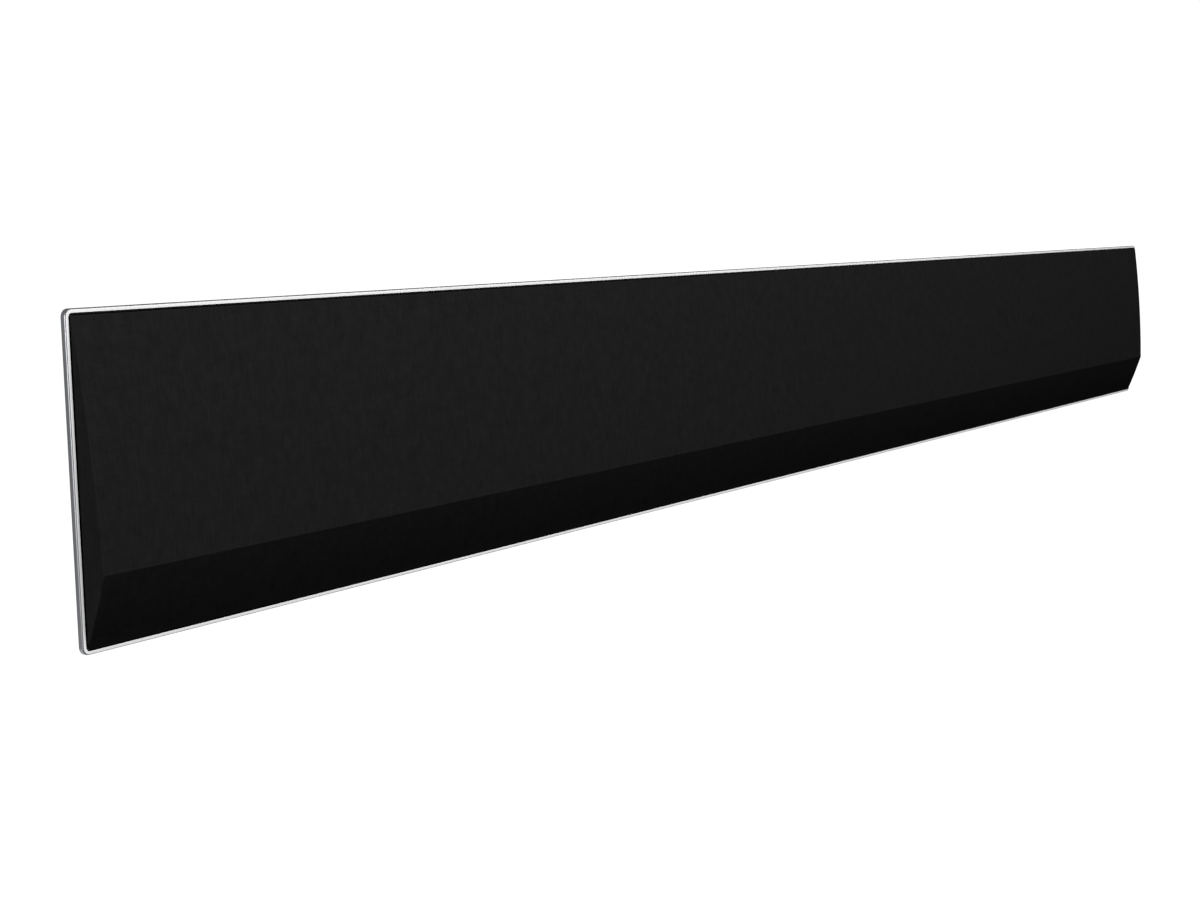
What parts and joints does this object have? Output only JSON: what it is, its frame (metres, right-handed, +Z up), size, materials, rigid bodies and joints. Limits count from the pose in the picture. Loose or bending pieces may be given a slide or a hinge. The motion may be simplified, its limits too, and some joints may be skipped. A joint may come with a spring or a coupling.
{
  "type": "soundbar",
  "caption": "Long, slim wall-hung soundbar with a wedge-shaped black cloth grille in a narrow bright metal rim, a shallow rear housing, racetrack woofers, dome tweeters and rear buttons.",
  "frame": {"origin": "centre of the rear housing's flat wall face, at mid-height and mid-length of the bar", "axes": "+X along the bar, to the right for someone facing it from the front; -Y out of the front; +Z up"},
  "size_m": [1.446, 0.032, 0.15],
  "materials": {
    "grille_cloth": "black woven acoustic cloth, stretched, matt",
    "brushed_rim": "satin anodised with a bright cut front edge",
    "black_plastic": "fine matt moulded",
    "housing_plastic": "fine spark-eroded texture",
    "button_plastic": "smooth satin",
    "socket_shell": "tin plated, stamped",
    "circuit_board": "solder resist over glass laminate",
    "heat_sink": "extruded, plain",
    "light_guide": "frosted, milky",
    "plated_steel": "zinc plated, stamped",
    "black_steel": "black oxide or e-coat, satin",
    "cone_paper": "pressed paper pulp, dull",
    "surround_rubber": "smooth butyl rubber",
    "dome_silk": "doped silk, slight sheen"
  },
  "bodies": {
    "body": {"grille_fabric": "grille_cloth", "grille_frame": "black_plastic", "rim_frame": "brushed_rim", "front_baffle": "black_plastic", "rear_housing": "housing_plastic", "terminal_panel": "black_plastic", "power_inlet": "black_plastic", "av_input_socket": "socket_shell", "av_return_socket": "socket_shell", "optical_socket": "black_plastic", "data_socket": "socket_shell", "network_socket": "black_plastic", "main_board": "circuit_board", "power_board": "circuit_board", "amplifier_heat_sink": "heat_sink", "wireless_module": "circuit_board", "display_board": "circuit_board", "display_light_guide": "light_guide", "button_bezel": "black_plastic", "button_board": "circuit_board", "left_hang_plate": "plated_steel", "right_hang_plate": "plated_steel", "woofer_1_chassis": "black_steel", "woofer_1_surround": "surround_rubber", "woofer_2_chassis": "black_steel", "woofer_2_surround": "surround_rubber", "woofer_3_chassis": "black_steel", "woofer_3_surround": "surround_rubber", "woofer_4_chassis": "black_steel", "woofer_4_surround": "surround_rubber", "woofer_5_chassis": "black_steel", "woofer_5_surround": "surround_rubber", "woofer_6_chassis": "black_steel", "woofer_6_surround": "surround_rubber", "tweeter_1_body": "housing_plastic", "tweeter_2_body": "housing_plastic", "tweeter_3_body": "housing_plastic", "rear_screw_1": "black_steel", "rear_screw_2": "black_steel", "rear_screw_3": "black_steel", "rear_screw_4": "black_steel", "rear_screw_5": "black_steel", "rear_screw_6": "black_steel", "rear_screw_7": "black_steel", "rear_screw_8": "black_steel"},
    "woofer_1_cone": {"woofer_1_cone": "cone_paper"},
    "woofer_2_cone": {"woofer_2_cone": "cone_paper"},
    "woofer_3_cone": {"woofer_3_cone": "cone_paper"},
    "woofer_4_cone": {"woofer_4_cone": "cone_paper"},
    "woofer_5_cone": {"woofer_5_cone": "cone_paper"},
    "woofer_6_cone": {"woofer_6_cone": "cone_paper"},
    "tweeter_1_dome": {"tweeter_1_dome": "dome_silk"},
    "tweeter_2_dome": {"tweeter_2_dome": "dome_silk"},
    "tweeter_3_dome": {"tweeter_3_dome": "dome_silk"},
    "power_button": {"power_button": "button_plastic"},
    "source_button": {"source_button": "button_plastic"},
    "volume_down_button": {"volume_down_button": "button_plastic"},
    "volume_up_button": {"volume_up_button": "button_plastic"},
    "pairing_button": {"pairing_button": "button_plastic"}
  },
  "joints": [
    {"name": "woofer_1_stroke", "type": "slide", "parent": "body", "child": "woofer_1_cone", "axis": [0, -1, 0], "range_m": [-0.002, 0.002], "stiffness_N_per_m": 1250, "deforming": ["woofer_1_surround"]},
    {"name": "woofer_2_stroke", "type": "slide", "parent": "body", "child": "woofer_2_cone", "axis": [0, -1, 0], "range_m": [-0.002, 0.002], "stiffness_N_per_m": 1250, "deforming": ["woofer_2_surround"]},
    {"name": "woofer_3_stroke", "type": "slide", "parent": "body", "child": "woofer_3_cone", "axis": [0, -1, 0], "range_m": [-0.002, 0.002], "stiffness_N_per_m": 1250, "deforming": ["woofer_3_surround"]},
    {"name": "woofer_4_stroke", "type": "slide", "parent": "body", "child": "woofer_4_cone", "axis": [0, -1, 0], "range_m": [-0.002, 0.002], "stiffness_N_per_m": 1250, "deforming": ["woofer_4_surround"]},
    {"name": "woofer_5_stroke", "type": "slide", "parent": "body", "child": "woofer_5_cone", "axis": [0, -1, 0], "range_m": [-0.002, 0.002], "stiffness_N_per_m": 1250, "deforming": ["woofer_5_surround"]},
    {"name": "woofer_6_stroke", "type": "slide", "parent": "body", "child": "woofer_6_cone", "axis": [0, -1, 0], "range_m": [-0.002, 0.002], "stiffness_N_per_m": 1250, "deforming": ["woofer_6_surround"]},
    {"name": "tweeter_1_stroke", "type": "slide", "parent": "body", "child": "tweeter_1_dome", "axis": [0, -1, 0], "range_m": [-0.0003, 0.0003], "stiffness_N_per_m": 1000},
    {"name": "tweeter_2_stroke", "type": "slide", "parent": "body", "child": "tweeter_2_dome", "axis": [0, -1, 0], "range_m": [-0.0003, 0.0003], "stiffness_N_per_m": 1000},
    {"name": "tweeter_3_stroke", "type": "slide", "parent": "body", "child": "tweeter_3_dome", "axis": [0, -1, 0], "range_m": [-0.0003, 0.0003], "stiffness_N_per_m": 1000},
    {"name": "power_press", "type": "slide", "parent": "body", "child": "power_button", "axis": [-1, 0, 0], "range_m": [0, 0.0006], "stiffness_N_per_m": 1500},
    {"name": "source_press", "type": "slide", "parent": "body", "child": "source_button", "axis": [-1, 0, 0], "range_m": [0, 0.0006], "stiffness_N_per_m": 1500},
    {"name": "volume_down_press", "type": "slide", "parent": "body", "child": "volume_down_button", "axis": [-1, 0, 0], "range_m": [0, 0.0006], "stiffness_N_per_m": 1500},
    {"name": "volume_up_press", "type": "slide", "parent": "body", "child": "volume_up_button", "axis": [-1, 0, 0], "range_m": [0, 0.0006], "stiffness_N_per_m": 1500},
    {"name": "pairing_press", "type": "slide", "parent": "body", "child": "pairing_button", "axis": [-1, 0, 0], "range_m": [0, 0.0006], "stiffness_N_per_m": 1500}
  ]
}
